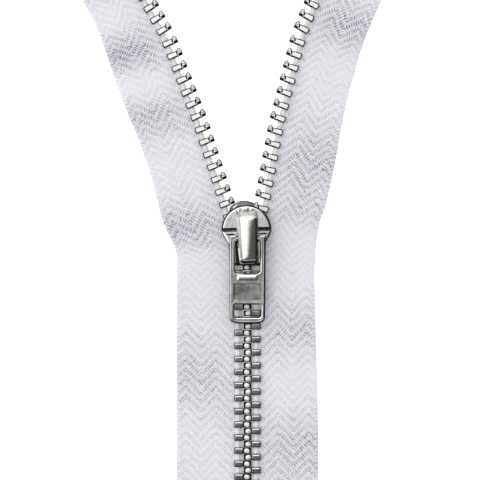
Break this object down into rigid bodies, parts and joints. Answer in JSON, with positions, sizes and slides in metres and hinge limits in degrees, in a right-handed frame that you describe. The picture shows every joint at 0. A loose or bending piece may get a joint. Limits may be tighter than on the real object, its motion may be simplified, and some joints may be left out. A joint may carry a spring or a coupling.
{
  "type": "metal zipper",
  "caption": "Metal zip with silver teeth on white woven tapes, closed below and open above a slider with a lock and a windowed pull tab.",
  "frame": {"origin": "on the slider's underside, on the chain's centre line, at the slider's widest place", "axes": "+Y along the closed chain towards the open end, +Z out of the front face where the pull tab is, +X to the right seen from the front"},
  "size_m": [0.0826, 0.1563, 0.0078],
  "materials": {
    "tooth_metal": "polished",
    "slider_metal": "nickel plated",
    "spring_steel": "plain",
    "tape": "herringbone woven polyester"
  },
  "bodies": {
    "chain": {"left_lower_tape": "tape", "right_lower_tape": "tape", "left_lower_teeth": "tooth_metal", "right_lower_teeth": "tooth_metal", "bottom_stop": "tooth_metal"},
    "slider": {"slider_body": "slider_metal", "slider_crown": "slider_metal"},
    "pawl": {"lock_pawl": "spring_steel"},
    "pull": {"pull_tab": "slider_metal"},
    "left_lower_side": {"left_lower_open_tape": "tape", "left_tooth_01": "tooth_metal", "left_tooth_02": "tooth_metal", "left_tooth_03": "tooth_metal", "left_tooth_04": "tooth_metal", "left_tooth_05": "tooth_metal", "left_tooth_06": "tooth_metal", "left_tooth_07": "tooth_metal", "left_tooth_08": "tooth_metal", "left_tooth_09": "tooth_metal", "left_tooth_10": "tooth_metal"},
    "left_middle_side": {"left_middle_open_tape": "tape", "left_tooth_11": "tooth_metal", "left_tooth_12": "tooth_metal", "left_tooth_13": "tooth_metal", "left_tooth_14": "tooth_metal", "left_tooth_15": "tooth_metal", "left_tooth_16": "tooth_metal", "left_tooth_17": "tooth_metal"},
    "left_upper_side": {"left_upper_open_tape": "tape", "left_tooth_18": "tooth_metal", "left_tooth_19": "tooth_metal", "left_tooth_20": "tooth_metal", "left_tooth_21": "tooth_metal", "left_top_stop": "tooth_metal"},
    "right_lower_side": {"right_lower_open_tape": "tape", "right_tooth_01": "tooth_metal", "right_tooth_02": "tooth_metal", "right_tooth_03": "tooth_metal", "right_tooth_04": "tooth_metal", "right_tooth_05": "tooth_metal", "right_tooth_06": "tooth_metal", "right_tooth_07": "tooth_metal", "right_tooth_08": "tooth_metal", "right_tooth_09": "tooth_metal", "right_tooth_10": "tooth_metal"},
    "right_middle_side": {"right_middle_open_tape": "tape", "right_tooth_11": "tooth_metal", "right_tooth_12": "tooth_metal", "right_tooth_13": "tooth_metal", "right_tooth_14": "tooth_metal", "right_tooth_15": "tooth_metal", "right_tooth_16": "tooth_metal", "right_tooth_17": "tooth_metal"},
    "right_upper_side": {"right_upper_open_tape": "tape", "right_tooth_18": "tooth_metal", "right_tooth_19": "tooth_metal", "right_tooth_20": "tooth_metal", "right_tooth_21": "tooth_metal", "right_top_stop": "tooth_metal"}
  },
  "joints": [
    {"name": "slider_travel", "type": "slide", "parent": "chain", "child": "slider", "axis": [0, 1, 0], "range_m": [0, 0.05015], "deforming": ["left_lower_open_tape", "left_tooth_01", "left_tooth_02", "left_tooth_03", "left_tooth_04", "left_tooth_05", "left_tooth_06", "left_tooth_07", "left_tooth_08", "left_tooth_09", "left_tooth_10", "left_middle_open_tape", "left_tooth_11", "left_tooth_12", "left_tooth_13", "left_tooth_14", "left_tooth_15", "left_tooth_16", "left_tooth_17", "left_upper_open_tape", "left_tooth_18", "left_tooth_19", "left_tooth_20", "left_tooth_21", "left_top_stop", "right_lower_open_tape", "right_tooth_01", "right_tooth_02", "right_tooth_03", "right_tooth_04", "right_tooth_05", "right_tooth_06", "right_tooth_07", "right_tooth_08", "right_tooth_09", "right_tooth_10", "right_middle_open_tape", "right_tooth_11", "right_tooth_12", "right_tooth_13", "right_tooth_14", "right_tooth_15", "right_tooth_16", "right_tooth_17", "right_upper_open_tape", "right_tooth_18", "right_tooth_19", "right_tooth_20", "right_tooth_21", "right_top_stop"]},
    {"name": "pull_swing", "type": "hinge", "parent": "slider", "child": "pull", "pos_m": [0, -0.0019, 0.00575], "axis": [-1, 0, 0], "range_deg": [0, 168]},
    {"name": "pawl_lift", "type": "hinge", "parent": "slider", "child": "pawl", "pos_m": [-0.001, 0.0013, 0.00668], "axis": [-1, 0, 0], "range_deg": [0, 4.2]},
    {"name": "left_lower_bend", "type": "hinge", "parent": "chain", "child": "left_lower_side", "pos_m": [-0.0032, -0.00421, 0.00225], "axis": [0, 0, 1], "range_deg": [-18, 0]},
    {"name": "left_middle_bend", "type": "hinge", "parent": "left_lower_side", "child": "left_middle_side", "pos_m": [-0.01232, 0.02385, 0.00225], "axis": [0, 0, 1], "range_deg": [-3, 0]},
    {"name": "left_upper_bend", "type": "hinge", "parent": "left_middle_side", "child": "left_upper_side", "pos_m": [-0.01972, 0.04313, 0.00225], "axis": [0, 0, 1], "range_deg": [0, 9.6]},
    {"name": "right_lower_bend", "type": "hinge", "parent": "chain", "child": "right_lower_side", "pos_m": [0.0052, -0.00568, 0.00225], "axis": [0, 0, 1], "range_deg": [0, 10.4]},
    {"name": "right_middle_bend", "type": "hinge", "parent": "right_lower_side", "child": "right_middle_side", "pos_m": [0.00836, 0.02373, 0.00225], "axis": [0, 0, 1], "range_deg": [0, 3.9]},
    {"name": "right_upper_bend", "type": "hinge", "parent": "right_middle_side", "child": "right_upper_side", "pos_m": [0.01346, 0.04374, 0.00225], "axis": [0, 0, 1], "range_deg": [-2.4, 0]}
  ],
  "couplings": [
    {"joint": "pawl_lift", "follows": "pull_swing", "ratio": 0.025},
    {"joint": "left_lower_bend", "follows": "slider_travel", "rad_per_m": -6.2644},
    {"joint": "left_middle_bend", "follows": "slider_travel", "rad_per_m": -1.0441},
    {"joint": "left_upper_bend", "follows": "slider_travel", "rad_per_m": 3.341},
    {"joint": "right_lower_bend", "follows": "slider_travel", "rad_per_m": 3.6194},
    {"joint": "right_middle_bend", "follows": "slider_travel", "rad_per_m": 1.3573},
    {"joint": "right_upper_bend", "follows": "slider_travel", "rad_per_m": -0.83525}
  ]
}
